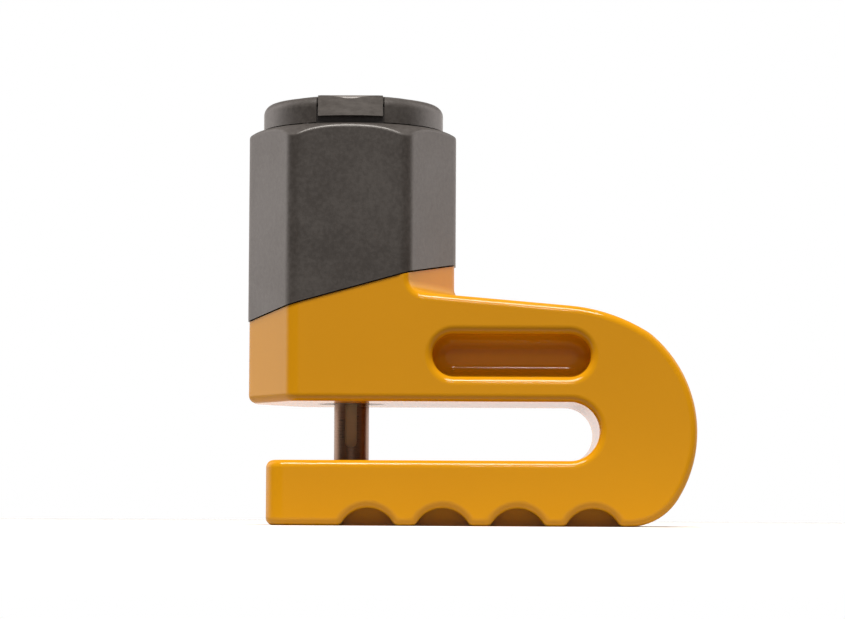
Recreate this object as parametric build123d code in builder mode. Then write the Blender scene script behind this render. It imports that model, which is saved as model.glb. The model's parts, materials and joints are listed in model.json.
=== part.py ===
from build123d import *
from math import cos, radians, sin, sqrt, tan
import os

os.makedirs("parts", exist_ok=True)

# Push-to-lock disc brake lock, in millimetres.  The lock stands on its lower jaw: X runs along the jaws,
# Y through their thickness and Z up.  Profiles are drawn from the locking pin's axis.

# ---- Jaws and arm ----
jaw_height = 10.0
gap_height = 9.0
gap_depth = 33.9            # pin axis to the centre of the gap's round end
bend_wall = 14.9
jaw_overhang = 12.6         # pin axis to the lower jaw's open end
jaw_end_radius = 3.0
heel_radius = 9.0
arm_height = 17.65          # arm's top over the gap, at the pin axis
arm_root = 4.9              # arm's top starts inside the head, from the pin axis
arm_fall = 4.86             # degrees
arm_straight = 33.8         # pin axis to the end of the straight top
shoulder_angle = 38.7       # degrees from vertical, where the shoulder meets the bend
shoulder_radius = 8.0
edge_radius = 1.2
root_radius = 2.0           # between the arm's top and the head

# ---- Grip recesses and finger scallops, the same on both faces ----
recess_centre = 24.95
recess_rise = 7.1           # over the gap
recess_length = 24.2
recess_width = 6.6
recess_depth = 5.4
recess_floor_radius = 2.2
recess_lip = 1.3
scallop_first = 3.05
scallop_pitch = 11.45
scallop_count = 4
scallop_radius = 4.5
scallop_drop = 1.75         # scallop centre below the bottom face
scallop_depth = 5.0
scallop_flare = 1.3

# ---- Head and its cover ----
head_width = 31.2           # across the front and back flats
head_half_length = 16.25
head_edge_radius = 2.8
head_height = 42.9          # crown over the gap
seam_rise = 17.15           # seam over the gap, at the pin axis
seam_slope = 15.5           # degrees
seam_gap = 0.2
cover_step = 0.2            # cover stands proud of the casting
cover_wall = 1.5
cover_fit = 0.1
crown_flat_radius = 13.4
crown_radius = 5.2
crown_edge_radius = 0.6
crown_wall = 1.9
wiper_thickness = 0.85
cover_screw_radius = 0.9
cover_screw_head = 1.6
cover_screw_inset = 0.45    # between the bore and a screw's head
cover_screw_length = 6.0
screw_slot_width = 0.5
screw_slot_depth = 0.8
cover_screw_angles = (60, 240)

# ---- Locking pin, its guide and its socket ----
pin_diameter = 5.5
pin_fit = 0.05
pin_chamfer = 0.6
pin_engagement = 5.8        # into the lower jaw
pin_margin = 0.2            # pin end above the gap when it is raised
groove_width = 1.85
groove_depth = 0.8
groove_rise = 2.1           # groove's lower end over the lower jaw
dowel_radius = 0.85
dowel_stop = 0.08
bush_wall = 2.2
bush_cover = 1.0            # bush over its dowel
bush_chamfer = 0.4
jaw_floor = 5.0             # upper jaw under the cylinder's bore
pin_wiper_height = 1.2
pin_wiper_shelf = 1.0
socket_wall = 1.65
socket_clearance = 0.2
socket_insert_height = 6.0
socket_end_gap = 0.6
insert_recess = 0.12        # insert's top below the lower jaw's

# ---- Lock cylinder ----
shell_radius = 10.5
shell_fit = 0.08
shell_lift = 2.0            # skirt's end over the bore's floor
spring_length = 9.0         # pressed, with the pin down
spring_wire = 1.3
spring_radius = 6.75
spring_turns = 4.75
skirt_bore = 8.0
skirt_chamfer = 0.4
seal_rise = 3.5             # sliding seal over the skirt's end
seal_section = 0.72
pin_seat = 4.8
cross_pin_radius = 0.8
cross_pin_inset = 0.6       # its ends below the cylinder's side
small_pin_chamfer = 0.2
latch_radius = 2.2
latch_fit = 0.08
latch_travel = 2.3
latch_tail = 5.2            # bolt's inner end to the pin's axis
latch_set_back = 0.2
latch_web = 0.7
keeper_clearance = 0.25
latch_end_gap = 0.4
latch_chamfer = 0.35
cam_pin_radius = 0.9
cam_pin_play = 0.15
cam_gap = 0.3               # cam disc over the latch bolt
cam_disc_radius = 5.0
cam_disc_height = 1.45
tang_width = 3.5
tang_height = 1.6
plug_radius = 6.5
plug_fit = 0.05
plug_lift = 0.15            # plug over the cam disc
plug_floor = 3.7
plug_wall = 1.15
plug_flange_radius = 7.4
plug_flange_height = 1.25
plug_flange_recess = 0.3
retainer_radius = 0.75
retainer_rise = 1.7
disc_count = 8
disc_thickness = 1.2
spacer_thickness = 0.4
disc_clearance = 0.05
front_plate_height = 2.0
keyway_length = 7.4
keyway_width = 1.9
keyway_chamfer = 0.3
sidebar_radius = 0.75
press_gap = 0.02            # round pieces pressed or slipped into one another

# ---- Push cap and dust lid ----
cap_radius = 14.15
cap_lift = 0.1              # over the crown, with the pin down
cap_height = 4.1
cap_shoulder = 1.6
cap_web = 0.9
cap_lip = 0.4               # over the plug's flange
cap_neck_radius = 9.4
cap_neck_height = 1.6
snap_ring_radius = 0.5
snap_ring_rise = 0.8
lid_radius = 11.1
lid_thickness = 1.15
lid_gap = 0.3
lid_proud = 0.35
lid_edge_radius = 0.25
tab_width = 10.0
tab_thickness = 1.8
tab_height = 2.4
tab_step = 0.3              # tab's top below the lid's
tab_edge_radius = 0.75
tab_gap = 0.25
hinge_offset = 11.2
hinge_depth = 1.45          # hinge axis below the lid's top
hinge_pin_radius = 0.6
hinge_pin_half = 6.7
knuckle_radius = 1.15
gasket_inner = 8.2
gasket_outer = 9.8
gasket_height = 0.75

# ---- Worked out from the sizes above ----
pin_radius = pin_diameter / 2
upper_jaw = jaw_height + gap_height
bend_height = jaw_height + gap_height / 2
bend_radius = gap_height / 2 + bend_wall
pin_x = (head_half_length - gap_depth - bend_radius) / 2
casting_half = head_width / 2 - cover_step
crown_top = upper_jaw + head_height
bore_radius = shell_radius + shell_fit
bore_floor = upper_jaw + jaw_floor
neck_inset = cover_wall + cover_fit
neck_top = crown_top - crown_wall - cover_fit - wiper_thickness
pin_low = jaw_height - pin_engagement
travel = pin_engagement + gap_height + pin_margin
groove_low = jaw_height + groove_rise
dowel_height = groove_low + travel + dowel_radius + dowel_stop
bush_radius = pin_radius + pin_fit + bush_wall
bush_low = upper_jaw + pin_wiper_shelf + pin_wiper_height
bush_top = dowel_height + dowel_radius + bush_cover
socket_radius = pin_radius + socket_clearance
insert_radius = socket_radius + socket_wall
insert_low = jaw_height - socket_insert_height
socket_floor = pin_low - socket_end_gap
skirt_low = bore_floor + shell_lift
spring_seat = bore_floor + spring_length
pin_top = spring_seat + pin_seat
cross_pin_height = spring_seat + pin_seat / 2
latch_height = pin_top + latch_web + latch_radius + latch_fit
cam_low = latch_height + latch_radius + cam_gap
cam_offset = latch_travel / sqrt(2)
plug_low = cam_low + cam_disc_height + plug_lift
cap_low = crown_top + cap_lift
shell_top = cap_low + cap_neck_height
plug_bore = plug_radius + plug_fit
plug_flange_low = shell_top - plug_flange_height - plug_flange_recess
disc_bore = plug_radius - plug_wall
discs_low = plug_low + plug_floor + disc_clearance
disc_pitch = disc_thickness + spacer_thickness
discs_top = discs_low + disc_count * disc_pitch - spacer_thickness
sidebar_offset = plug_radius - sidebar_radius
cap_top = cap_low + cap_height
lid_top = cap_top + lid_proud
lid_low = lid_top - lid_thickness
pocket_floor = shell_top + cap_web
pocket_radius = lid_radius + lid_gap
hinge_height = lid_top - hinge_depth
seal_height = skirt_low + seal_rise
seal_groove_radius = shell_radius - 2 * seal_section
retainer_height = plug_low + retainer_rise
latch_inner_end = -latch_tail
snap_height = cap_low + snap_ring_rise
tab_back = tab_thickness - cap_radius
keeper_reach = shell_radius - latch_set_back + latch_travel + latch_end_gap
cover_screw_ring = bore_radius + cover_screw_head + cover_screw_inset
cover_screw_places = [
    (cover_screw_ring * cos(radians(angle)), cover_screw_ring * sin(radians(angle)))
    for angle in cover_screw_angles
]

pin_axis = Axis((pin_x, 0, 0), (0, 0, 1))
side = Plane((pin_x, 0, 0), x_dir=(1, 0, 0), z_dir=(0, -1, 0))
seam_run = (cos(radians(seam_slope)), 0, sin(radians(seam_slope)))
seam_normal = (-sin(radians(seam_slope)), 0, cos(radians(seam_slope)))
seam = Plane((pin_x, 0, upper_jaw + seam_rise), x_dir=seam_run, z_dir=seam_normal)


def level(height):
    """Horizontal plane at a height, with its origin on the pin's axis."""
    return Plane((pin_x, 0, height))


def across(height, offset=0.0):
    """Plane that faces +Y, for pieces that lie along Y, centred on the pin's axis or beside it."""
    return Plane((pin_x + offset, 0, height), x_dir=(-1, 0, 0), z_dir=(0, 1, 0))


def lengthwise(height, start=0.0, depth=0.0):
    """Plane that faces +X, for pieces that lie along X from a place beside the pin's axis."""
    return Plane((pin_x + start, depth, height), x_dir=(0, 1, 0), z_dir=(1, 0, 0))


def head_outline(inset, sharp_toward_arm=False):
    """Six-sided head section, its two end corners cut flat and its corners rounded."""
    RegularPolygon(head_width / 2 - inset, 6, major_radius=False)
    Rectangle(2 * (head_half_length - inset), 2 * head_width, mode=Mode.INTERSECT)
    corners = vertices().sort_by(Axis.X)
    if sharp_toward_arm:
        corners = corners[:4] + corners[6:]
    fillet(corners, head_edge_radius - inset)


def finish(part, name):
    """Label a piece and write its STEP file."""
    part.label = name
    export_step(part, f"parts/{name}.step")


# ---- Body casting ----
def face_plane(facing):
    """Plane of the front (-1) or back (1) face, with X along the jaws and the height as its second axis."""
    return Plane((pin_x, facing * casting_half, 0), x_dir=(1, 0, 0), z_dir=(0, -1, 0))


def on_outline(edge):
    """True for the edges of the front and back outlines, which are rounded over."""
    box = edge.bounding_box()
    flat = box.size.Y < 0.001 and abs(abs(edge.center().Y) - casting_half) < 0.001
    head_left_side = box.min.X < pin_x and box.max.Z > upper_jaw + edge_radius
    return flat and not head_left_side


arm_start = (arm_root, upper_jaw + arm_height - arm_root * tan(radians(arm_fall)))
arm_end = (arm_straight, upper_jaw + arm_height - arm_straight * tan(radians(arm_fall)))
arm_direction = (cos(radians(arm_fall)), -sin(radians(arm_fall)))
shoulder = (
    gap_depth + bend_radius * sin(radians(shoulder_angle)),
    bend_height + bend_radius * cos(radians(shoulder_angle)),
)
heel = (gap_depth + sqrt(bend_radius**2 - bend_height**2), 0)
gap_low_end = (gap_depth, jaw_height)
gap_high_end = (gap_depth, upper_jaw)
scallop_places = [(scallop_first + index * scallop_pitch, -scallop_drop) for index in range(scallop_count)]

with BuildPart() as body_casting:
    with BuildSketch(side):
        with BuildLine():
            Line(arm_start, arm_end)
            TangentArc(arm_end, shoulder, tangent=arm_direction)
            ThreePointArc(shoulder, (gap_depth + bend_radius, bend_height), heel)
            Polyline(heel, (-jaw_overhang, 0), (-jaw_overhang, jaw_height), gap_low_end)
            ThreePointArc(gap_low_end, (gap_depth + gap_height / 2, bend_height), gap_high_end)
            Polyline(gap_high_end, (arm_root, upper_jaw), arm_start)
        make_face()
        fillet(vertices().sort_by_distance(heel)[0], heel_radius)
        fillet(vertices().sort_by_distance(shoulder)[0], shoulder_radius)
    extrude(amount=casting_half, both=True)
    fillet(edges().filter_by(Axis.Z).group_by(Axis.X)[0], jaw_end_radius)

    # Finger scallops flare where they run out of the bottom, and leave a web in the middle of the jaw.
    for facing in (-1, 1):
        with BuildSketch(face_plane(facing)):
            with Locations((-jaw_overhang, 0)):
                Rectangle(gap_depth + jaw_overhang + heel[0], scallop_radius, align=(Align.MIN, Align.MAX))
            with Locations(scallop_places):
                Circle(scallop_radius)
            mouth = [corner for corner in vertices() if abs(corner.Y) < 0.001 and abs(corner.X) < heel[0]]
            fillet(mouth, scallop_flare)
        extrude(amount=facing * scallop_depth, mode=Mode.SUBTRACT)

    # Head boss up to the seam, its underside level with the arm's.
    with BuildSketch(level(upper_jaw)):
        head_outline(cover_step, sharp_toward_arm=True)
    extrude(amount=head_height)
    split(bisect_by=seam, keep=Keep.BOTTOM)
    root = [
        edge
        for edge in edges()
        if edge.bounding_box().min.Z > arm_end[1] + 0.5
        and edge.bounding_box().max.Z < upper_jaw + arm_height
        and 0 < edge.center().X - pin_x < head_half_length
        and edge.bounding_box().size.X < head_half_length
    ]
    fillet(root, root_radius)
    fillet([edge for edge in edges() if on_outline(edge)], edge_radius)

    for facing in (-1, 1):
        with BuildSketch(face_plane(facing)):
            with Locations((recess_centre, upper_jaw + recess_rise)):
                SlotOverall(recess_length, recess_width)
        extrude(amount=facing * recess_depth, mode=Mode.SUBTRACT)
        floor = facing * (casting_half - recess_depth)
        fillet(edges(Select.LAST).filter_by_position(Axis.Y, floor - 0.01, floor + 0.01), recess_floor_radius)
        lip = [
            edge
            for edge in edges().filter_by_position(Axis.Y, facing * casting_half - 0.01, facing * casting_half + 0.01)
            if abs(edge.center().X - pin_x - recess_centre) <= recess_length / 2
            and abs(edge.center().Z - upper_jaw - recess_rise) <= recess_width / 2
        ]
        fillet(lip, recess_lip)

    # Neck inside the cover, then everything that is bored out of the casting.
    with BuildSketch(level(bore_floor)):
        head_outline(neck_inset)
    extrude(amount=neck_top - bore_floor)
    with BuildSketch(level(bore_floor)):
        Circle(bore_radius)
    extrude(amount=head_height, mode=Mode.SUBTRACT)
    with BuildSketch(level(upper_jaw + pin_wiper_shelf)):
        Circle(bush_radius)
    extrude(amount=jaw_floor, mode=Mode.SUBTRACT)
    with BuildSketch(level(socket_floor)):
        Circle(socket_radius)
    extrude(amount=bore_floor - socket_floor, mode=Mode.SUBTRACT)
    with BuildSketch(level(insert_low)):
        Circle(insert_radius)
    extrude(amount=socket_insert_height + 1, mode=Mode.SUBTRACT)
    for keeper_height in (latch_height, latch_height + travel):
        with BuildSketch(lengthwise(keeper_height)):
            Circle(latch_radius + keeper_clearance)
        extrude(amount=keeper_reach, mode=Mode.SUBTRACT)
    with BuildSketch(level(neck_top)):
        with Locations(cover_screw_places):
            Circle(cover_screw_radius + press_gap)
    extrude(amount=-cover_screw_length, mode=Mode.SUBTRACT)
finish(body_casting.part, "body_casting")

# ---- Head cover, its screws and the wiper under it ----
crown_edge = (crown_flat_radius + crown_radius, crown_top - crown_radius)
crown_bend = (
    crown_flat_radius + crown_radius * sin(radians(45)),
    crown_top - crown_radius + crown_radius * cos(radians(45)),
)
with BuildPart() as head_cover:
    with BuildSketch(level(upper_jaw)):
        head_outline(0)
    extrude(amount=head_height)
    with BuildSketch(side):
        with BuildLine():
            Polyline((crown_flat_radius, crown_top), (0, crown_top), (0, upper_jaw))
            Polyline((0, upper_jaw), (crown_edge[0], upper_jaw), crown_edge)
            ThreePointArc(crown_edge, crown_bend, (crown_flat_radius, crown_top))
        make_face()
    revolve(axis=pin_axis, mode=Mode.INTERSECT)
    crown_rim = [
        edge
        for edge in edges()
        if edge.bounding_box().min.Z > crown_edge[1] and edge.geom_type not in (GeomType.CIRCLE, GeomType.LINE)
    ]
    fillet(crown_rim, crown_edge_radius)
    split(bisect_by=seam.offset(seam_gap), keep=Keep.TOP)
    with BuildSketch(level(upper_jaw)):
        head_outline(cover_wall)
    extrude(amount=head_height - crown_wall, mode=Mode.SUBTRACT)
    with BuildSketch(level(crown_top)):
        Circle(bore_radius + cover_screw_inset / 2)
    extrude(amount=-2 * crown_wall, mode=Mode.SUBTRACT)
    with Locations(level(crown_top)):
        with Locations(cover_screw_places):
            CounterSinkHole(cover_screw_radius + press_gap, cover_screw_head, 2 * crown_wall)
finish(head_cover.part, "head_cover")

with BuildPart() as cover_screws:
    with Locations([level(crown_top).from_local_coords(Vector(*place)) for place in cover_screw_places]):
        Cylinder(cover_screw_radius, cover_screw_length + crown_wall, align=(Align.CENTER, Align.CENTER, Align.MAX))
        Cone(
            cover_screw_radius,
            cover_screw_head - press_gap,
            cover_screw_head - press_gap - cover_screw_radius,
            align=(Align.CENTER, Align.CENTER, Align.MAX),
        )
        Box(
            2 * cover_screw_radius,
            screw_slot_width,
            screw_slot_depth,
            align=(Align.CENTER, Align.CENTER, Align.MAX),
            mode=Mode.SUBTRACT,
        )
finish(cover_screws.part, "cover_screws")

with BuildPart() as bore_wiper:
    with BuildSketch(level(neck_top)):
        head_outline(neck_inset)
        Circle(shell_radius + shell_fit, mode=Mode.SUBTRACT)
        with Locations(cover_screw_places):
            Circle(cover_screw_radius + press_gap, mode=Mode.SUBTRACT)
    extrude(amount=wiper_thickness)
finish(bore_wiper.part, "bore_wiper")


# ---- Pin guide and socket ----
def ring(outer, inner, low, high):
    """Plain ring about the pin's axis."""
    with BuildPart() as piece:
        with BuildSketch(level(low)):
            Circle(outer)
            Circle(inner, mode=Mode.SUBTRACT)
        extrude(amount=high - low)
    return piece.part


finish(ring(bush_radius - press_gap, pin_radius + pin_fit, upper_jaw + pin_wiper_shelf, bush_low), "pin_wiper")
finish(ring(insert_radius - press_gap, socket_radius, insert_low, jaw_height - insert_recess), "socket_insert")

with BuildPart() as guide_bush:
    with BuildSketch(level(bush_low)):
        Circle(bush_radius - press_gap)
        Circle(pin_radius + pin_fit, mode=Mode.SUBTRACT)
    extrude(amount=bush_top - bush_low)
    chamfer(edges().group_by(Axis.Z)[-1], bush_chamfer)
    with BuildSketch(across(dowel_height)):
        Circle(dowel_radius + press_gap)
    extrude(amount=-2 * bush_radius, mode=Mode.SUBTRACT)
finish(guide_bush.part, "guide_bush")

dowel_tip = pin_radius - groove_depth + dowel_stop
with BuildPart() as guide_dowel:
    with BuildSketch(across(dowel_height)):
        Circle(dowel_radius)
    extrude(amount=-(bush_radius - 2 * dowel_stop))
    with BuildSketch(across(dowel_height)):
        Rectangle(2 * bush_radius, 2 * bush_radius)
    extrude(amount=-dowel_tip, mode=Mode.SUBTRACT)
finish(guide_dowel.part, "guide_dowel")

spring_rise = spring_length - spring_wire
with BuildPart() as return_spring:
    with BuildLine(level(bore_floor + spring_wire / 2)):
        coil = Helix(spring_rise / spring_turns, spring_rise, spring_radius)
    with BuildSketch(Plane(coil @ 0, z_dir=coil % 0)):
        Circle(spring_wire / 2)
    sweep()
finish(return_spring.part, "return_spring")

# ---- Locking pin, the cylinder that carries it and what holds them together ----
with BuildPart() as snap_groove:
    with BuildSketch(side):
        with Locations((cap_neck_radius, snap_height)):
            Circle(snap_ring_radius + press_gap)
    revolve(axis=pin_axis)

with BuildPart() as locking_pin:
    with BuildSketch(level(pin_low)):
        Circle(pin_radius)
    extrude(amount=pin_top - pin_low)
    chamfer(edges().group_by(Axis.Z)[0], pin_chamfer)
    groove_high = dowel_height + 2 * dowel_radius
    with BuildSketch(Plane((pin_x, -pin_radius, 0), x_dir=(1, 0, 0), z_dir=(0, -1, 0))):
        with Locations((0, (groove_low + groove_high) / 2)):
            SlotOverall(groove_high - groove_low, groove_width, rotation=90)
    extrude(amount=-groove_depth, mode=Mode.SUBTRACT)
    with BuildSketch(across(cross_pin_height)):
        Circle(cross_pin_radius + press_gap)
    extrude(amount=pin_diameter, both=True, mode=Mode.SUBTRACT)
finish(locking_pin.part, "locking_pin")

with BuildPart() as cylinder_shell:
    with BuildSketch(level(skirt_low)):
        Circle(shell_radius)
    extrude(amount=cap_low - skirt_low)
    chamfer(edges().group_by(Axis.Z)[0], skirt_chamfer)
    with BuildSketch(level(cap_low)):
        Circle(cap_neck_radius)
    extrude(amount=cap_neck_height)
    # Spring pocket, pin seat, cam pocket, plug bore and flange seat, from the skirt up.
    for low, high, radius in (
        (skirt_low, spring_seat, skirt_bore),
        (spring_seat, pin_top + press_gap, pin_radius + press_gap),
        (latch_height, cam_low, cam_offset + cam_pin_radius + 2 * cam_pin_play),
        (cam_low - plug_fit, shell_top, plug_bore),
        (plug_flange_low - plug_fit, shell_top, plug_flange_radius + plug_fit),
    ):
        with BuildSketch(level(low)):
            Circle(radius)
        extrude(amount=high - low, mode=Mode.SUBTRACT)
    with BuildSketch(lengthwise(latch_height, latch_inner_end - latch_set_back)):
        Circle(latch_radius + latch_fit)
    extrude(amount=2 * shell_radius, mode=Mode.SUBTRACT)
    # Cross holes, the seal's groove and the groove that the sidebar stands in while the plug is locked.
    for height, offset, radius in (
        (cross_pin_height, 0, cross_pin_radius),
        (retainer_height, -plug_radius, retainer_radius),
    ):
        with BuildSketch(across(height, offset)):
            Circle(radius + press_gap)
        extrude(amount=shell_radius, both=True, mode=Mode.SUBTRACT)
    with BuildSketch(level(seal_height - seal_section)):
        Circle(shell_radius + 1)
        Circle(seal_groove_radius, mode=Mode.SUBTRACT)
    extrude(amount=2 * seal_section, mode=Mode.SUBTRACT)
    with BuildSketch(level(discs_low)):
        with Locations((-plug_bore, 0)):
            Circle(sidebar_radius)
    extrude(amount=discs_top - discs_low, mode=Mode.SUBTRACT)
    add(snap_groove.part, mode=Mode.SUBTRACT)
finish(cylinder_shell.part, "cylinder_shell")

with BuildPart() as shell_o_ring:
    with BuildSketch(side):
        with Locations((seal_groove_radius + press_gap + seal_section, seal_height)):
            Circle(seal_section - press_gap)
    revolve(axis=pin_axis)
finish(shell_o_ring.part, "shell_o_ring")

with BuildPart() as pin_cross_pin:
    with BuildSketch(across(cross_pin_height)):
        Circle(cross_pin_radius)
    extrude(amount=shell_radius - cross_pin_inset, both=True)
    chamfer(edges(), small_pin_chamfer)
finish(pin_cross_pin.part, "pin_cross_pin")

with BuildPart() as plug_retaining_pin:
    with BuildSketch(across(retainer_height, -plug_radius)):
        Circle(retainer_radius)
    extrude(amount=sqrt((shell_radius - retainer_radius) ** 2 - plug_radius**2), both=True)
    chamfer(edges(), small_pin_chamfer)
finish(plug_retaining_pin.part, "plug_retaining_pin")

# ---- Plug and disc stack, drawn as the key leaves them when it has freed the latch ----
with BuildPart() as plug_carrier:
    with BuildSketch(level(plug_low)):
        Circle(plug_radius)
    extrude(amount=shell_top - cap_lift - plug_low)
    with BuildSketch(level(plug_flange_low)):
        Circle(plug_flange_radius)
    extrude(amount=plug_flange_height)
    with BuildSketch(level(plug_low + plug_floor)):
        Circle(disc_bore)
    extrude(amount=shell_top, mode=Mode.SUBTRACT)
    with BuildSketch(level(plug_low)):
        Rectangle(tang_width + 2 * press_gap, tang_width + 2 * press_gap)
    extrude(amount=tang_height, mode=Mode.SUBTRACT)
    with BuildSketch(level(retainer_height - retainer_radius - cam_pin_play)):
        Circle(plug_radius + 1)
        Circle(plug_radius - retainer_radius - cam_pin_play, mode=Mode.SUBTRACT)
    extrude(amount=2 * (retainer_radius + cam_pin_play), mode=Mode.SUBTRACT)
    with BuildSketch(level(discs_low)):
        with Locations((0, sidebar_offset)):
            Rectangle(2 * (sidebar_radius + disc_clearance), 2 * plug_wall + 2 * sidebar_radius)
    extrude(amount=discs_top - discs_low, mode=Mode.SUBTRACT)
finish(plug_carrier.part, "plug_carrier")


def key_disc():
    """Disc section with the key's slot and the sidebar's notch."""
    Circle(disc_bore - disc_clearance)
    Rectangle(keyway_width, keyway_length, mode=Mode.SUBTRACT)
    with Locations((0, sidebar_offset)):
        Circle(sidebar_radius + disc_clearance, mode=Mode.SUBTRACT)


with BuildPart() as lock_discs:
    for index in range(disc_count):
        with BuildSketch(level(discs_low + index * disc_pitch)):
            key_disc()
        extrude(amount=disc_thickness)
finish(lock_discs.part, "lock_discs")

spacer_clearance = disc_clearance / 2
with BuildPart() as spacer_discs:
    for index in range(disc_count - 1):
        with BuildSketch(level(discs_low + index * disc_pitch + disc_thickness + spacer_clearance)):
            key_disc()
        extrude(amount=spacer_thickness - 2 * spacer_clearance)
finish(spacer_discs.part, "spacer_discs")

with BuildPart() as sidebar:
    with BuildSketch(level(discs_low + disc_clearance)):
        with Locations((0, sidebar_offset)):
            Circle(sidebar_radius)
    extrude(amount=discs_top - discs_low - 2 * disc_clearance)
finish(sidebar.part, "sidebar")

with BuildPart() as front_plate:
    with BuildSketch(level(discs_top + disc_clearance)):
        Circle(disc_bore - press_gap)
        Rectangle(keyway_width, keyway_length, mode=Mode.SUBTRACT)
    extrude(amount=shell_top - cap_lift - discs_top - 2 * disc_clearance)
    chamfer(edges().group_by(Axis.Z)[-1].filter_by(GeomType.LINE), keyway_chamfer)
finish(front_plate.part, "front_plate")

with BuildPart() as cam_tailpiece:
    with BuildSketch(level(cam_low)):
        Circle(cam_disc_radius)
    extrude(amount=cam_disc_height)
    with BuildSketch(level(cam_low)):
        Rectangle(tang_width, tang_width)
    extrude(amount=plug_low - cam_low + tang_height - press_gap)
    with BuildSketch(level(cam_low)):
        with Locations((-latch_travel / 2, -latch_travel / 2)):
            Circle(cam_pin_radius)
    extrude(amount=-(cam_low - latch_height - 3 * cam_pin_play - press_gap))
finish(cam_tailpiece.part, "cam_tailpiece")

with BuildPart() as latch_bolt:
    with BuildSketch(lengthwise(latch_height, latch_inner_end)):
        Circle(latch_radius)
    extrude(amount=shell_radius - latch_set_back - latch_inner_end)
    chamfer(edges().group_by(Axis.X)[-1], latch_chamfer)
    with BuildSketch(lengthwise(latch_height, -latch_travel / 2)):
        with Locations((0, 2 * cam_pin_play)):
            Rectangle(4 * latch_radius, 2 * latch_radius, align=(Align.CENTER, Align.MIN))
    extrude(amount=cam_pin_radius + cam_pin_play, both=True, mode=Mode.SUBTRACT)
finish(latch_bolt.part, "latch_bolt")

# ---- Push cap, its snap ring, and the dust lid on its hinge ----
with BuildPart() as push_cap:
    with BuildSketch(side):
        with BuildLine():
            Polyline(
                (cap_radius - cap_shoulder, cap_top),
                (pocket_radius, cap_top),
                (pocket_radius, pocket_floor),
                (plug_flange_radius - cap_lip, pocket_floor),
                (plug_flange_radius - cap_lip, shell_top),
                (cap_neck_radius + press_gap, shell_top),
                (cap_neck_radius + press_gap, cap_low),
                (cap_radius, cap_low),
                (cap_radius, cap_top - cap_shoulder),
            )
            RadiusArc((cap_radius, cap_top - cap_shoulder), (cap_radius - cap_shoulder, cap_top), -cap_shoulder)
        make_face()
    revolve(axis=pin_axis)
    add(snap_groove.part, mode=Mode.SUBTRACT)
    # Notches for the finger tab and its bridge in front, and for the knuckle at the back.
    with BuildSketch(lengthwise(cap_low)):
        with Locations((tab_back + tab_gap, 0)):
            Rectangle(cap_radius, cap_height, align=(Align.MAX, Align.MIN))
        with Locations((-gasket_outer, pocket_floor - cap_low)):
            Rectangle(cap_radius, cap_height, align=(Align.MAX, Align.MIN))
        with Locations((hinge_offset - knuckle_radius - tab_gap, hinge_height - knuckle_radius - tab_gap - cap_low)):
            Rectangle(cap_radius, cap_height, align=(Align.MIN, Align.MIN))
    extrude(amount=tab_width / 2 + tab_gap, both=True, mode=Mode.SUBTRACT)
    with BuildSketch(lengthwise(hinge_height, 0, hinge_offset)):
        Circle(hinge_pin_radius + press_gap)
    extrude(amount=hinge_pin_half, both=True, mode=Mode.SUBTRACT)
finish(push_cap.part, "push_cap")

with BuildPart() as cap_snap_ring:
    with BuildSketch(side):
        with Locations((cap_neck_radius, snap_height)):
            Circle(snap_ring_radius)
    revolve(axis=pin_axis, revolution_arc=330)
finish(cap_snap_ring.part, "cap_snap_ring")

with BuildPart() as lid_hinge_pin:
    with BuildSketch(lengthwise(hinge_height, 0, hinge_offset)):
        Circle(hinge_pin_radius)
    extrude(amount=hinge_pin_half - press_gap, both=True)
finish(lid_hinge_pin.part, "lid_hinge_pin")

finish(ring(gasket_outer, gasket_inner, pocket_floor, pocket_floor + gasket_height), "lid_gasket")

tab_crown = lid_top - tab_step
tab_top = tab_crown - tab_edge_radius
tab_root = tab_back + tab_thickness
with BuildPart() as dust_lid:
    with BuildSketch(level(lid_low)):
        Circle(lid_radius)
    extrude(amount=lid_thickness)
    fillet(edges().group_by(Axis.Z)[-1], lid_edge_radius)
    with BuildSketch(lengthwise(0)):
        with BuildLine():
            Polyline((tab_back, tab_top - tab_height), (tab_back, lid_low), (tab_root, lid_low), (tab_root, tab_crown))
            Line((tab_root, tab_crown), (tab_edge_radius - cap_radius, tab_crown))
            RadiusArc((tab_edge_radius - cap_radius, tab_crown), (-cap_radius, tab_top), -tab_edge_radius)
            Polyline((-cap_radius, tab_top), (-cap_radius, tab_top - tab_height), (tab_back, tab_top - tab_height))
        make_face()
    extrude(amount=tab_width / 2, both=True)
    with BuildSketch(level(lid_top - cap_height)):
        Circle(cap_radius - press_gap)
    extrude(amount=2 * cap_height, mode=Mode.INTERSECT)
    with BuildSketch(lengthwise(hinge_height, 0, hinge_offset)):
        Circle(knuckle_radius)
        Rectangle(knuckle_radius, lid_top - hinge_height, align=(Align.MAX, Align.MIN))
    extrude(amount=tab_width / 2, both=True)
    with BuildSketch(lengthwise(hinge_height, 0, hinge_offset)):
        Circle(hinge_pin_radius + pin_fit)
    extrude(amount=tab_width, both=True, mode=Mode.SUBTRACT)
finish(dust_lid.part, "dust_lid")
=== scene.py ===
# %% [markdown]
# # Disc brake lock
#
# The lock is a yellow die-cast horseshoe with a black six-sided cover over its head. A steel pin crosses the
# gap that takes the brake disc, and a push cap with a hinged dust lid stands on top. The CAD model already
# holds every shape and every joint. This script gives the pieces their finishes, and builds a small studio
# round them.

# %% Load the frame
import json
import math

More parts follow.
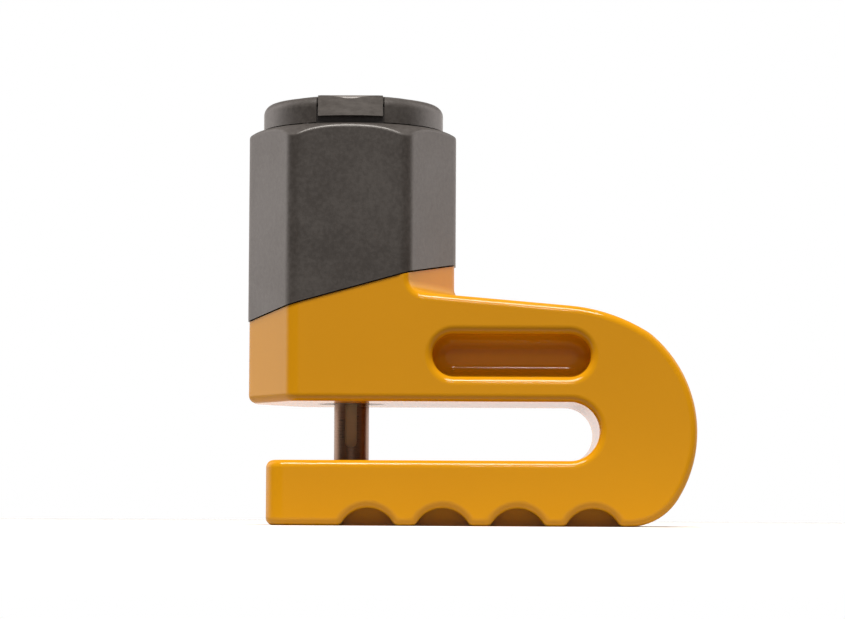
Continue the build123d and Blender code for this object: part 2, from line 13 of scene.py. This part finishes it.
import bpy
import numpy as np
from mathutils import Euler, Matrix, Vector


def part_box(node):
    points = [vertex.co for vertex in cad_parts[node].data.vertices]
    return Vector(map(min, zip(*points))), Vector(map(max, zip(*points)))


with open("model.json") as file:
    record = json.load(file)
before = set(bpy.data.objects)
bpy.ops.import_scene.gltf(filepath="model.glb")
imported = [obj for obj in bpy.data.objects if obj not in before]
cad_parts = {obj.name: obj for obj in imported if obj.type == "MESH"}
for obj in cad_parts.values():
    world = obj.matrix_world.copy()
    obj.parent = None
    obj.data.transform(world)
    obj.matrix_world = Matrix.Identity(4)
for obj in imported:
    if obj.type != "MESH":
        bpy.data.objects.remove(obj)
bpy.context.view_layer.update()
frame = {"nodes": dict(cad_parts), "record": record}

nodes = frame["nodes"]
slot_of = {part["node"]: part["material_slot"] for part in frame["record"]["subparts"]}

# %% [markdown]
# ## Lengths the finishes need
#
# Several finishes follow the shape: the bores of the casting and the pin's groove are left bare, and the lid
# has a painted sheen at its tab. Those places are read from the imported pieces, so nothing has to be typed
# in twice.

# %% Places on the lock
pin_low, pin_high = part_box("locking_pin")
axis_x = (pin_low.x + pin_high.x) / 2
pin_radius = (pin_high.x - pin_low.x) / 2
shell_low, shell_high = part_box("cylinder_shell")
shell_radius = (shell_high.x - shell_low.x) / 2
bore_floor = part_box("return_spring")[0].z
cap_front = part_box("push_cap")[0].y
print("pin axis X", round(axis_x, 5), "pin radius", round(pin_radius, 5))
print("shell radius", round(shell_radius, 5), "bore floor", round(bore_floor, 5))

# %% [markdown]
# ## The camera
#
# A small product is usually taken with a long lens from about half a metre, standing low and tilted up a
# little, so that the jaws keep their real proportions. The camera's place is given in metres and its turn in
# degrees, and there is no lens shift, so other views can reuse the same lens.

# %% Camera
camera_data = bpy.data.cameras.new("camera")
camera_data.sensor_width = 36.0
camera_data.lens = 131.5
camera_data.clip_start = 0.01
camera_data.clip_end = 20.0
camera = bpy.data.objects.new("camera", camera_data)
camera.location = (0.0, -0.4856, 0.0020)
camera.rotation_mode = "XYZ"
camera_pitch = 3.77
camera_yaw = 0.88
camera_roll = 0.30
tilt = Euler((math.radians(90.0 + camera_pitch), 0.0, math.radians(camera_yaw))).to_matrix()
roll = Euler((0.0, 0.0, math.radians(camera_roll))).to_matrix()
camera.rotation_euler = (tilt @ roll).to_euler()
bpy.context.scene.collection.objects.link(camera)
bpy.context.scene.camera = camera
print("camera at", tuple(round(c, 4) for c in camera.location))

# %% [markdown]
# ## Shader maths as Python
#
# A node tree is hard to read once it has more than a few nodes. The class below wraps one output socket and
# overloads the arithmetic operators, so a mask can be written as `1 - mask * 0.5` and the Math nodes appear
# by themselves. Every other node comes from one method, `Tree.node`, which the room's lighting uses as well.


# %% A socket that can be calculated with
class Signal:
    """One output socket of a node tree. Arithmetic on it adds Math nodes and gives a new Signal."""

    def __init__(self, owner, socket):
        self.owner = owner
        self.socket = socket

    def math(self, operation, *others):
        values = dict(enumerate((self, *others)))
        return self.owner.node("ShaderNodeMath", {"operation": operation}, values)

    def __add__(self, other):
        return self.math("ADD", other)

    def __sub__(self, other):
        return self.math("SUBTRACT", other)

    def __rsub__(self, other):
        return self * -1 + other

    def __mul__(self, other):
        return self.math("MULTIPLY", other)

    def __pow__(self, other):
        return self.math("POWER", other)

    __radd__ = __add__
    __rmul__ = __mul__


# %% A node tree and its one node method
class Tree:
    """A node tree, of a material or of the world."""

    def __init__(self, tree):
        self.tree = tree

    def node(self, kind, settings=None, values=None, output=0):
        """Add a node: its settings first, then its sockets' values or links. Gives one of its outputs."""
        made = self.tree.nodes.new(kind)
        for name, value in (settings or {}).items():
            setattr(made, name, value)
        for name, value in (values or {}).items():
            self.feed(made.inputs[name], value)
        return Signal(self, made.outputs[output])

    def feed(self, socket, value):
        """Link a Signal to a socket, or set the socket's own value."""
        if isinstance(value, Signal):
            self.tree.links.new(value.socket, socket)
        else:
            socket.default_value = value

    def part(self, vector, letter):
        """One component of a vector: X, Y or Z."""
        return self.node("ShaderNodeSeparateXYZ", None, {"Vector": vector}, output=letter)

    def ramp(self, value, low, high, start=0.0, end=1.0):
        """Go smoothly from start to end while the value goes from low to high."""
        names = {"Value": value, "From Min": low, "From Max": high, "To Min": start, "To Max": end}
        return self.node("ShaderNodeMapRange", {"interpolation_type": "SMOOTHSTEP"}, names)

    def blend(self, share, first, second):
        """Mix two colours: all first at share 0, all second at share 1."""
        colours = [colour if isinstance(colour, Signal) else (*colour, 1.0) for colour in (first, second)]
        values = {"Factor": share, 6: colours[0], 7: colours[1]}
        return self.node("ShaderNodeMix", {"data_type": "RGBA"}, values, output=2)

    def seen(self):
        """1 for what the camera looks at directly, and 0 for the light that falls on other things."""
        return self.node("ShaderNodeLightPath", output="Is Camera Ray")


# %% A finish
class Finish(Tree):
    """A material with a Principled shader. Constants go on the shader's own sockets."""

    def __init__(self, name):
        self.material = bpy.data.materials.new(name)
        self.material.use_nodes = True
        super().__init__(self.material.node_tree)
        self.shader = self.tree.nodes["Principled BSDF"]

    def set(self, **values):
        """Feed the shader's sockets, named with underscores in place of their spaces."""
        for name, value in values.items():
            if name.endswith(("Color", "Tint")) and not isinstance(value, Signal):
                value = (*value, 1.0)
            self.feed(self.shader.inputs[name.replace("_", " ")], value)

    def present(self, name):
        """What feeds a shader socket so far, for a finish that is changed further."""
        return Signal(self, self.shader.inputs[name].links[0].from_socket)

    def place(self, scale=(1.0, 1.0, 1.0), shift=(0.0, 0.0, 0.0)):
        """Object coordinates in metres, scaled and then shifted."""
        start = self.node("ShaderNodeTexCoord", output="Object")
        values = {"Vector": start, "Location": shift, "Scale": scale}
        return self.node("ShaderNodeMapping", {"vector_type": "POINT"}, values)

    def noise(self, size, detail=2.0, rough=0.5, stretch=(1.0, 1.0, 1.0)):
        """Soft noise from 0 to 1 with blobs about size metres across, longer along a stretched axis."""
        where = self.place(scale=[1.0 / (size * factor) for factor in stretch])
        values = {"Vector": where, "Scale": 1.0, "Detail": detail, "Roughness": rough}
        return self.node("ShaderNodeTexNoise", {"noise_dimensions": "3D"}, values, output="Fac")

    def axis(self, letter, shift=(0.0, 0.0, 0.0)):
        """One object coordinate, in metres."""
        return self.part(self.place(shift=shift), letter)

    def aside(self):
        """X measured from the lock's own axis, in metres."""
        return self.axis("X", shift=(-axis_x, 0.0, 0.0))

    def radius(self):
        """Distance from the lock's own axis, in metres: the root of x squared plus y squared."""
        x = self.aside()
        y = self.axis("Y")
        return (x * x + y * y) ** 0.5

    def relief(self, height, depth):
        """Bump from a height between 0 and 1 that is worth depth metres."""
        values = {"Height": height, "Distance": depth, "Strength": 1.0}
        self.set(Normal=self.node("ShaderNodeBump", None, values))


print("shader helpers ready")

# %% [markdown]
# ## Yellow paint on the casting
#
# The body is die-cast zinc under a thick, glossy coat. Sprayed paint is never quite flat: it has a faint
# orange peel about a millimetre across, and its tone drifts slowly where the coat is thicker. The bores for
# the cylinder and for the pin are machined after painting, so there the paint stops and the grey metal
# shows.
#
# A mask finds those bores by their distance from the lock's axis. Its edge lies in a fade that starts
# outside the bore's wall, so the paint ends on the flat rim and not half way up the wall.

# %% Yellow paint
paint = Finish("yellow_paint")
peel = paint.noise(0.0011, detail=1.0)
grit = paint.noise(0.00025, detail=2.0)
drift = paint.noise(0.018, detail=3.0)
handling = paint.noise(0.0065, detail=4.0, rough=0.6)
from_axis = paint.radius()
paint_fade = 0.0003
under_floor = bore_floor - 0.0001
bush_wall = 0.0023
cylinder_rim = shell_radius + paint_fade
bush_rim = pin_radius + bush_wall
over_floor = paint.ramp(paint.axis("Z"), under_floor - paint_fade, under_floor)
cylinder_bore = paint.ramp(from_axis, cylinder_rim, cylinder_rim + paint_fade, 1.0, 0.0) * over_floor
pin_bore = paint.ramp(from_axis, bush_rim, bush_rim + paint_fade, 1.0, 0.0)
bare = cylinder_bore + pin_bore - cylinder_bore * pin_bore
thin_coat = (0.645, 0.288, 0.0045)
thick_coat = (0.685, 0.312, 0.0058)
bare_zinc = (0.50, 0.50, 0.51)
peel_depth = 0.000005
paint.set(
    Base_Color=paint.blend(bare, paint.blend(drift, thin_coat, thick_coat), bare_zinc),
    Metallic=bare,
    Roughness=paint.ramp(handling, 0.35, 0.75, 0.26, 0.34) + bare * 0.06,
    Coat_Weight=(1 - bare) * 0.58,
    Coat_Roughness=0.09,
    Coat_IOR=1.5,
    Specular_IOR_Level=0.0,
)
paint.relief(peel * 0.85 + grit * 0.15, peel_depth)
print("paint has", len(paint.tree.nodes), "nodes")

# %% [markdown]
# ## Black moulded plastic
#
# The head's cover, the push cap and the dust lid are moulded in black nylon. Their mould was spark eroded,
# which leaves an even satin grain a fifth of a millimetre across, and a mottled tone a little coarser than
# that. Handling polishes the tops of the grain, so the roughness drifts slowly, and a few fine rub marks run
# across it.

# %% Black plastic
nylon_dark = (0.042, 0.037, 0.034)
nylon_light = (0.072, 0.066, 0.062)
grain_depth = 0.000016


def moulded_plastic(name):
    """Grain as bump, mottle and slow drift from dark to light, and rub marks that are short along Z."""
    plastic = Finish(name)
    grain = plastic.noise(0.00022, detail=3.0, rough=0.65)
    polish = plastic.noise(0.009, detail=4.0, rough=0.55)
    mottle = plastic.noise(0.0007, detail=3.0, rough=0.75)
    rub = plastic.noise(0.0016, detail=3.0, rough=0.65, stretch=(6.0, 6.0, 0.35))
    rubbed = plastic.ramp(rub, 0.60, 0.78)
    tone = plastic.ramp(polish * 0.4 + mottle * 0.6, 0.35, 0.65)
    plastic.set(
        Base_Color=plastic.blend(tone, nylon_dark, nylon_light),
        Roughness=plastic.ramp(polish, 0.3, 0.7, 0.36, 0.43) - rubbed * 0.04,
        IOR=1.62,
    )
    plastic.relief(grain, grain_depth)
    return plastic


plastic = moulded_plastic("black_plastic")
lid_plastic = moulded_plastic("lid_plastic")
print("plastic has", len(plastic.tree.nodes), "nodes")

# %% [markdown]
# The lid's tab is painted paler than the rest of the cover, a painted sheen for the light that its front
# catches.
# So the lid has its own copy of the finish, with a lighter patch that starts at the tab.

# %% Painted sheen on the finger tab
tab_reach = 0.0034
sheen_fade = 0.0012
sheen_end = cap_front + tab_reach
# Painted sheen: the tab's front is painted paler than the lid, for the light it catches; the mottle in it is
# random.
tab_sheen = lid_plastic.ramp(lid_plastic.axis("Y"), sheen_end - sheen_fade, sheen_end, 1.0, 0.0)
sheen_mottle = lid_plastic.noise(0.0007, detail=4.0, rough=0.7, stretch=(3.0, 1.0, 1.0))
sheen_dark = (0.110, 0.102, 0.096)
sheen_light = (0.160, 0.150, 0.142)
painted_tab_sheen = lid_plastic.blend(lid_plastic.ramp(sheen_mottle, 0.3, 0.7), sheen_dark, sheen_light)
lid_plastic.set(Base_Color=lid_plastic.blend(tab_sheen, lid_plastic.present("Base Color"), painted_tab_sheen))
print("tab wear ends at Y", round(sheen_end, 5))

# %% [markdown]
# ## Rubber
#
# The wipers, the seal and the lid's gasket are plain black rubber: rough, with a slight bloom on the
# surface.

# %% Black rubber
rubber = Finish("black_rubber")
bloom = rubber.noise(0.004, detail=4.0, rough=0.6)
rubber.set(
    Base_Color=rubber.blend(bloom, (0.014, 0.014, 0.014), (0.026, 0.026, 0.027)),
    Roughness=rubber.ramp(bloom, 0.3, 0.7, 0.62, 0.78),
    IOR=1.5,
)
pore_depth = 0.000006
rubber.relief(rubber.noise(0.0003, detail=3.0), pore_depth)
print("rubber has", len(rubber.tree.nodes), "nodes")

# %% [markdown]
# ## Turned and ground metals
#
# The metal pieces were turned or ground, so one recipe serves them all: fine marks that are long across the
# piece and very short along the lock's axis, plus a slow drift of tone. Only the colour, the roughness and
# the width of the marks differ.


# %% Recipe for turned metal
def turned_metal(name, dark, light, smooth, rough, mark=0.00007):
    """Metal whose marks are noise squeezed to mark metres along Z, and whose tone runs from dark to light."""
    mark_depth = 0.0000012
    metal = Finish(name)
    lines = metal.noise(mark, detail=2.0, rough=0.7, stretch=(40.0, 40.0, 1.0))
    cloud = metal.noise(0.005, detail=4.0, rough=0.6)
    speck = metal.noise(0.0004, detail=3.0, rough=0.7)
    tone = lines * 0.45 + cloud * 0.4 + speck * 0.15
    metal.set(
        Base_Color=metal.blend(metal.ramp(tone, 0.3, 0.7), dark, light),
        Metallic=1.0,
        Roughness=metal.ramp(lines * 0.6 + cloud * 0.4, 0.3, 0.7, smooth, rough),
    )
    metal.relief(lines * 0.8 + speck * 0.2, mark_depth)
    return metal


metals = {
    "pin_steel": turned_metal("pin_steel", (0.19, 0.120, 0.085), (0.30, 0.200, 0.145), 0.24, 0.36),
    "bright_steel": turned_metal("bright_steel", (0.52, 0.52, 0.52), (0.64, 0.64, 0.64), 0.20, 0.30),
    "hardened_steel": turned_metal("hardened_steel", (0.34, 0.34, 0.35), (0.46, 0.46, 0.47), 0.26, 0.38),
    "spring_steel": turned_metal("spring_steel", (0.40, 0.40, 0.42), (0.54, 0.54, 0.56), 0.25, 0.35),
    "cast_zinc": turned_metal("cast_zinc", (0.50, 0.50, 0.51), (0.62, 0.62, 0.63), 0.26, 0.36, 0.00012),
    "lock_brass": turned_metal("lock_brass", (0.58, 0.41, 0.16), (0.76, 0.56, 0.26), 0.24, 0.36),
}
print("metals:", sorted(metals))

# %% [markdown]
# The locking pin was blackened after turning, and a groove runs down its front. The groove is painted as a
# paler, duller strip no wider than the cutter: its paler colour is a painted highlight, for the light that
# the groove catches. The mask takes what lies deeper than the pin's own surface, near the middle and on the
# front half.

# %% Painted highlight in the groove of the locking pin
pin_steel = metals["pin_steel"]
cutter_reach = 0.0010
cutter_fade = 0.0002
cut_depth = 0.00004
cut_depth_sure = 0.00012
side_fade = 0.0004
# Painted highlight: the groove is painted paler than the pin, for the light it catches; the mask also makes
# it duller.
groove_highlight_colour = (0.46, 0.405, 0.31)
deep = pin_steel.ramp(pin_steel.radius(), pin_radius - cut_depth_sure, pin_radius - cut_depth, 1.0, 0.0)
front_half = pin_steel.ramp(pin_steel.axis("Y"), -side_fade, 0.0, 1.0, 0.0)
off_middle = pin_steel.aside().math("ABSOLUTE")
near_middle = pin_steel.ramp(off_middle, cutter_reach, cutter_reach + cutter_fade, 1.0, 0.0)
groove_and_highlight = deep * front_half * near_middle
pin_steel.set(
    Base_Color=pin_steel.blend(groove_and_highlight, pin_steel.present("Base Color"), groove_highlight_colour),
    Roughness=pin_steel.present("Roughness") + groove_and_highlight * 0.28,
)
print("pin finish has", len(pin_steel.tree.nodes), "nodes")

# %% [markdown]
# ## Give every piece its finish
#
# The record names one material slot for each piece, and the finishes above carry the same names. Only the
# dust lid has a finish of its own, which is its slot's finish with the painted sheen on its tab added.

# %% Assign the finishes
finishes = {"yellow_paint": paint, "black_plastic": plastic, "black_rubber": rubber, **metals}
for name, piece in nodes.items():
    finish = lid_plastic if name == "dust_lid" else finishes[slot_of[name]]
    piece.data.materials.clear()
    piece.data.materials.append(finish.material)
print("pieces finished:", len(nodes))

# %% [markdown]
# ## Studio floor
#
# The floor is a round sheet of pale paper that fades out into the white room, so that it has no hard edge
# from any side. The camera sees it white all round. The light it passes on is darker than what the camera
# sees: pale from a few centimetres in front of the lock, and near black before that. So the paper shines up
# under every edge, while the hollows of the front face get painted shade from the dark part and stay deep
# in colour.


# %% Floor sheet
def floor_surface(reach, rings=24, spokes=96):
    """Flat disc. A ring's radius is its share of the reach, and the second parameter goes round once."""
    radius = np.linspace(0.0, reach, rings)[1:, None]
    around = np.linspace(0.0, 2.0 * math.pi, spokes, endpoint=False)
    x = radius * np.cos(around)
    y = radius * np.sin(around)
    return np.stack([x, y, np.zeros_like(x)], axis=2)


def ringed_mesh(name, points):
    """Mesh from a grid of points that closes along its second parameter, with one face over the middle."""
    rows, columns = points.shape[:2]
    index = np.arange(rows * columns).reshape(rows, columns)
    right = np.roll(index, -1, axis=1)
    faces = np.stack([index[:-1], index[1:], right[1:], right[:-1]], axis=2).reshape(-1, 4).tolist()
    mesh = bpy.data.meshes.new(name)
    mesh.from_pydata(points.reshape(-1, 3).tolist(), [], faces + [index[0].tolist()])
    made = bpy.data.objects.new(name, mesh)
    bpy.context.scene.collection.objects.link(made)
    return made


floor_reach = 0.70
floor = ringed_mesh("floor", floor_surface(floor_reach))
print("floor faces:", len(floor.data.polygons))

# %% Floor paper
fade_start = 0.20
fade_end = 0.6 * floor_reach
sheet_edge = -0.050
sheet_full = -0.022
paper = Finish("floor_paper")
fibre = paper.noise(0.004, detail=4.0)
watched = paper.blend(fibre, (0.88, 0.88, 0.88), (0.91, 0.91, 0.91))
# Painted shade: for light rays the floor is darker than the camera sees it, near black in front of the lock,
# which shades the front hollows.
bounce_pale_share = paper.ramp(paper.axis("Y"), sheet_edge, sheet_full)
painted_shade_bounce = paper.blend(bounce_pale_share, (0.10, 0.09, 0.08), (0.56, 0.55, 0.53))
paper.set(
    Base_Color=paper.blend(paper.seen(), painted_shade_bounce, watched),
    Alpha=paper.ramp(paper.radius(), fade_start, fade_end, 1.0, 0.0),
    Roughness=0.9,
    Specular_IOR_Level=0.1,
)
floor.data.materials.append(paper.material)
print("paper has", len(paper.tree.nodes), "nodes")

# %% [markdown]
# ## Light
#
# Gloss only shows what surrounds it. The front of the lock faces the dark side of the room, while white
# walls stand at the sides and behind, so flat fronts stay deep in colour and the slanted sides turn pale. A
# wide key lamp hangs nearly overhead. A small lamp in front, to the right, draws the thin bright lines in
# the grip recess and along the rounded edges.


# %% Lamps
def soft_lamp(name, place, width, height, watts):
    """Area lamp at a place in metres, turned towards the middle of the lock."""
    data = bpy.data.lights.new(name, "AREA")
    data.shape = "RECTANGLE"
    data.size = width
    data.size_y = height
    data.energy = watts
    data.color = (1.0, 0.94, 0.88)
    lamp = bpy.data.objects.new(name, data)
    lamp.location = place
    lamp.rotation_euler = (lock_middle - Vector(place)).to_track_quat("-Z", "Y").to_euler()
    bpy.context.scene.collection.objects.link(lamp)
    return lamp


lock_middle = Vector((0.0, 0.0, 0.03))
soft_lamp("key_lamp", (-0.05, -0.34, 0.78), 0.60, 0.24, 10.8)
soft_lamp("front_lamp", (0.029, -0.43, 0.30), 0.055, 0.03, 0.17)

# %% [markdown]
# The room is the world's background, so it has no mesh. Its brightness depends only on direction: nearly
# dark in front, with a faint glow behind the camera that puts a sheen on the flat fronts, bright at the
# sides and low down behind, and brightest straight behind. The camera itself sees plain white everywhere.

# %% White room with a dark front
world = bpy.data.worlds.new("room")
world.use_nodes = True
bpy.context.scene.world = world
room = Tree(world.node_tree)
direction = room.node("ShaderNodeTexCoord", output="Generated")
towards_back = room.part(direction, "Y")
sideways = room.part(direction, "X").math("ABSOLUTE")
upwards = room.part(direction, "Z")
front_dark = 0.075
behind_camera = room.ramp(towards_back, -0.985, -0.93, 0.30, 0.0)
side_wall = room.ramp(sideways, 0.40, 0.75, 0.0, 1.45)
low_wall = room.ramp(upwards, 0.10, 0.35, 0.75, 0.0)
back_wall = room.ramp(towards_back, 0.90, 0.97, 0.0, 0.6)
walls = 0.22 + side_wall.math("MAXIMUM", low_wall + back_wall)
glow = front_dark + behind_camera + room.ramp(towards_back, -0.20, 0.45) * walls
warm_white = (1.0, 0.92, 0.88)
plain_white = (1.0, 1.0, 1.0)
background = world.node_tree.nodes["Background"]
room.feed(background.inputs["Color"], room.blend(room.seen(), warm_white, plain_white))
room.feed(background.inputs["Strength"], glow + room.seen() * (1 - glow))
bpy.context.scene.view_settings.view_transform = "Standard"
bpy.context.scene.view_settings.look = "None"
bpy.context.scene.view_settings.exposure = 0.0
print("room has", len(room.tree.nodes), "nodes")
